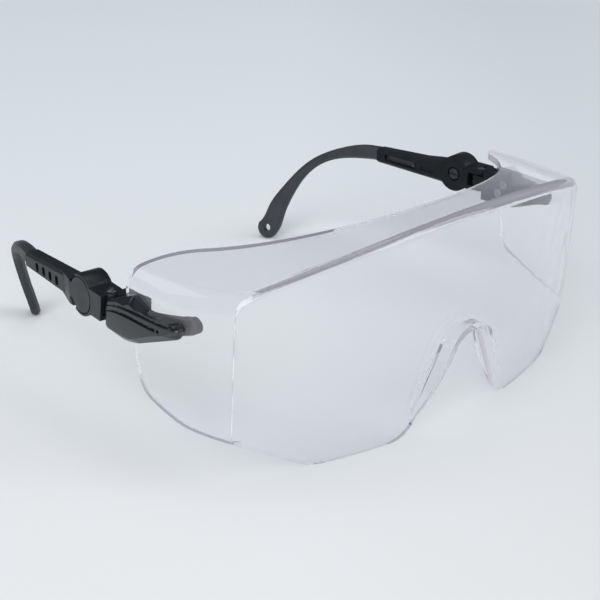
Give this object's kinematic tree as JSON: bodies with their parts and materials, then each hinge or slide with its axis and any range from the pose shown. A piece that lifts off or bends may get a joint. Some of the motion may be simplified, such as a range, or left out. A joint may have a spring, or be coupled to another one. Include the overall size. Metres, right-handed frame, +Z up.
{
  "type": "fitover safety glasses",
  "caption": "Wrap-round clear eye shield worn over other glasses, with roof shelf and side panels, on temples that fold, tilt and slide in length.",
  "frame": {"origin": "on the table plane, midway between the two sides and midway between the front of the nose rim and the rear of the temples", "axes": "+X to the wearer's left, +Y back along the temples, +Z up"},
  "size_m": [0.169, 0.1532, 0.0673],
  "materials": {
    "clear_shield": "clear moulded polycarbonate, polished",
    "black_plastic": "moulded nylon, satin black",
    "soft_black": "moulded plastic, matt black",
    "screw_steel": "bright turned steel"
  },
  "bodies": {
    "shield": {"shield": "clear_shield", "left_bracket_cover": "black_plastic", "left_bracket_plate": "black_plastic", "left_bracket_rivets": "screw_steel", "right_bracket_cover": "black_plastic", "right_bracket_plate": "black_plastic", "right_bracket_rivets": "screw_steel"},
    "left_hinge_block": {"left_hinge_block": "black_plastic", "left_hinge_screw": "screw_steel", "left_hinge_nut": "screw_steel", "left_tilt_washer": "screw_steel"},
    "left_sleeve": {"left_temple_sleeve": "black_plastic", "left_tilt_screw": "screw_steel"},
    "left_earpiece": {"left_earpiece": "soft_black"},
    "right_hinge_block": {"right_hinge_block": "black_plastic", "right_hinge_screw": "screw_steel", "right_hinge_nut": "screw_steel", "right_tilt_washer": "screw_steel"},
    "right_sleeve": {"right_temple_sleeve": "black_plastic", "right_tilt_screw": "screw_steel"},
    "right_earpiece": {"right_earpiece": "soft_black"}
  },
  "joints": [
    {"name": "left_fold", "type": "hinge", "parent": "shield", "child": "left_hinge_block", "pos_m": [0.0797, -0.01101, 0.0409], "axis": [0, 0, 1], "range_deg": [0, 88]},
    {"name": "left_tilt", "type": "hinge", "parent": "left_hinge_block", "child": "left_sleeve", "pos_m": [0.0788, -0.0013, 0.0409], "axis": [0.9957, 0.0924, 0], "range_deg": [-22, 12]},
    {"name": "left_slide", "type": "slide", "parent": "left_sleeve", "child": "left_earpiece", "axis": [-0.0924, 0.9957, 0], "range_m": [0, 0.012]},
    {"name": "right_fold", "type": "hinge", "parent": "shield", "child": "right_hinge_block", "pos_m": [-0.0797, -0.01101, 0.0409], "axis": [0, 0, -1], "range_deg": [0, 74]},
    {"name": "right_tilt", "type": "hinge", "parent": "right_hinge_block", "child": "right_sleeve", "pos_m": [-0.0788, -0.0013, 0.0409], "axis": [0.9957, -0.0924, 0], "range_deg": [-22, 12]},
    {"name": "right_slide", "type": "slide", "parent": "right_sleeve", "child": "right_earpiece", "axis": [0.0924, 0.9957, 0], "range_m": [0, 0.012]}
  ]
}
